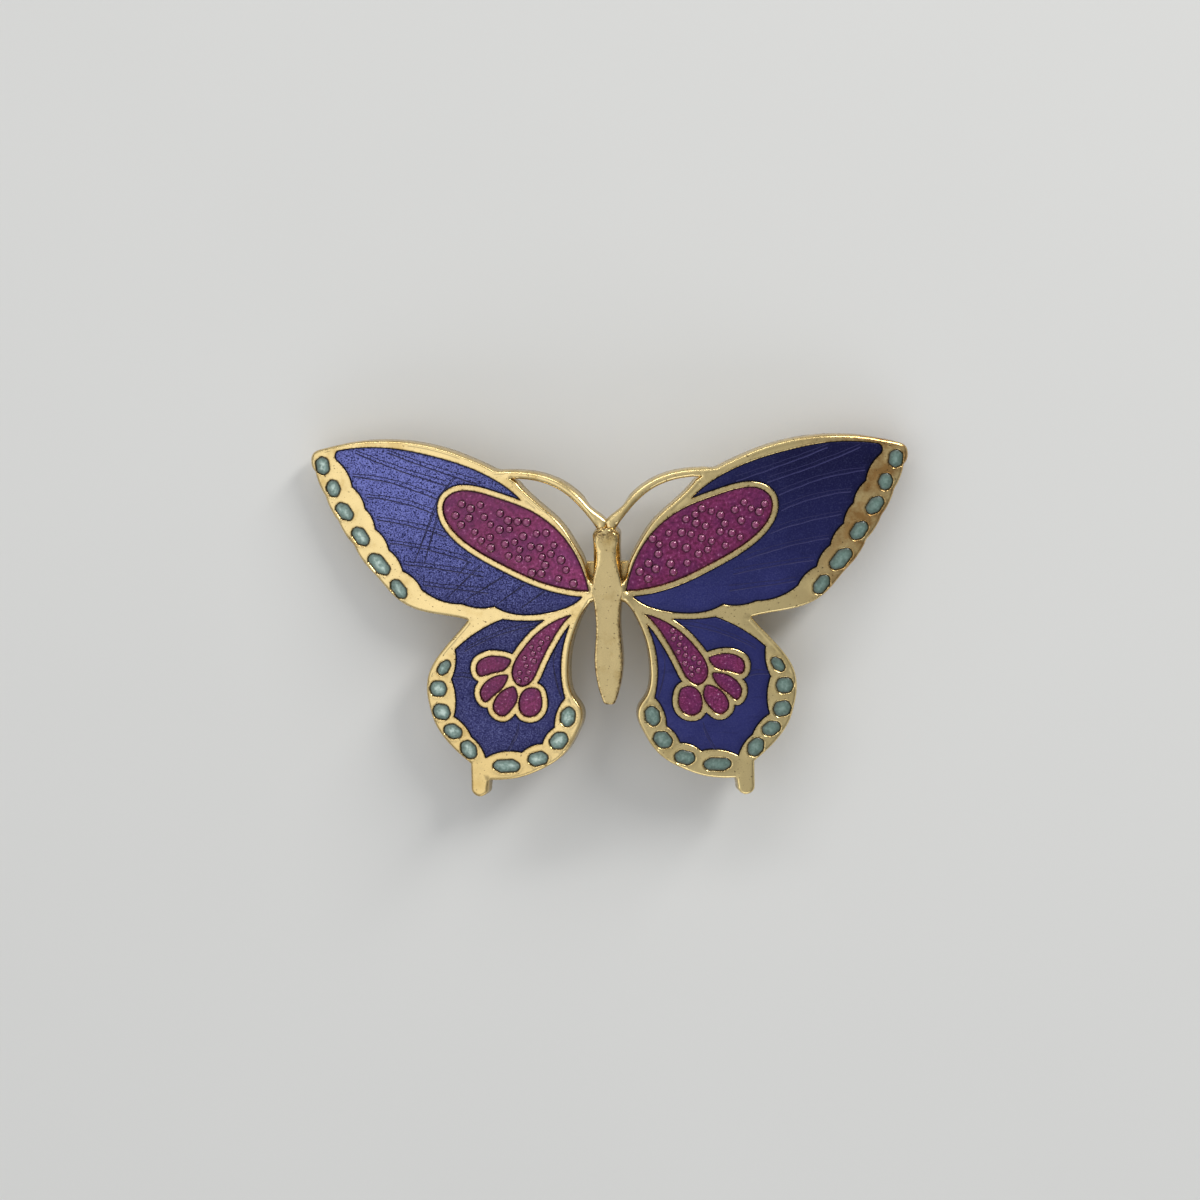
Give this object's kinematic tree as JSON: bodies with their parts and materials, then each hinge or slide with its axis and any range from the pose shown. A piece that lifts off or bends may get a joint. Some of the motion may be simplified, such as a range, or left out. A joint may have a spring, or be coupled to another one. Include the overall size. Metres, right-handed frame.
{
  "type": "butterfly_brooch",
  "caption": "Butterfly brooch: a domed gold-plated plate with enamelled cells, and a pin-back with a hinged pin stem and a rotating safety catch.",
  "frame": {"origin": "Under the middle of the outline, on the plane of the lowest point of the pin-back.", "axes": "+X runs from wing tip to wing tip, towards the hinge end of the pin-back. +Y runs from the tails towards the head and feelers. +Z points out of the enamelled face, away from the cloth."},
  "size_m": [0.0428, 0.0256, 0.0065],
  "materials": {
    "plated_brass": "polished",
    "blue_enamel": "glossy",
    "plum_enamel": "glossy",
    "teal_enamel": "glossy",
    "solder": "satin",
    "rivet_steel": "satin",
    "stem_steel": "polished"
  },
  "bodies": {
    "brooch": {"butterfly_base": "plated_brass", "right_forewing_blue": "blue_enamel", "right_forewing_plum": "plum_enamel", "right_hindwing_blue": "blue_enamel", "right_hindwing_teardrop": "plum_enamel", "right_hindwing_petal_1": "plum_enamel", "right_hindwing_petal_2": "plum_enamel", "right_hindwing_petal_3": "plum_enamel", "right_hindwing_petal_4": "plum_enamel", "right_forewing_spot_1": "teal_enamel", "right_forewing_spot_2": "teal_enamel", "right_forewing_spot_3": "teal_enamel", "right_forewing_spot_4": "teal_enamel", "right_forewing_spot_5": "teal_enamel", "right_forewing_spot_6": "teal_enamel", "right_hindwing_spot_1": "teal_enamel", "right_hindwing_spot_2": "teal_enamel", "right_hindwing_spot_3": "teal_enamel", "right_hindwing_spot_4": "teal_enamel", "right_hindwing_spot_5": "teal_enamel", "right_hindwing_spot_6": "teal_enamel", "right_hindwing_spot_7": "teal_enamel", "right_hindwing_spot_8": "teal_enamel", "right_hindwing_spot_9": "teal_enamel", "left_forewing_blue": "blue_enamel", "left_forewing_plum": "plum_enamel", "left_hindwing_blue": "blue_enamel", "left_hindwing_teardrop": "plum_enamel", "left_hindwing_petal_1": "plum_enamel", "left_hindwing_petal_2": "plum_enamel", "left_hindwing_petal_3": "plum_enamel", "left_hindwing_petal_4": "plum_enamel", "left_forewing_spot_1": "teal_enamel", "left_forewing_spot_2": "teal_enamel", "left_forewing_spot_3": "teal_enamel", "left_forewing_spot_4": "teal_enamel", "left_forewing_spot_5": "teal_enamel", "left_forewing_spot_6": "teal_enamel", "left_hindwing_spot_1": "teal_enamel", "left_hindwing_spot_2": "teal_enamel", "left_hindwing_spot_3": "teal_enamel", "left_hindwing_spot_4": "teal_enamel", "left_hindwing_spot_5": "teal_enamel", "left_hindwing_spot_6": "teal_enamel", "left_hindwing_spot_7": "teal_enamel", "left_hindwing_spot_8": "teal_enamel", "left_hindwing_spot_9": "teal_enamel", "pin_bar": "plated_brass", "right_solder_pad": "solder", "left_solder_pad": "solder", "pin_joint": "plated_brass", "hinge_rivet": "rivet_steel", "catch_housing": "plated_brass"},
    "stem": {"pin_stem": "stem_steel"},
    "roller": {"catch_roller": "plated_brass"}
  },
  "joints": [
    {"name": "stem_hinge", "type": "hinge", "parent": "brooch", "child": "stem", "pos_m": [0.0092, 0.00253, 0.00121], "axis": [0, -1, 0], "range_deg": [0, 90]},
    {"name": "catch_turn", "type": "hinge", "parent": "brooch", "child": "roller", "pos_m": [-0.009, 0.00253, 0.00121], "axis": [-1, 0, 0], "range_deg": [0, 90]}
  ]
}
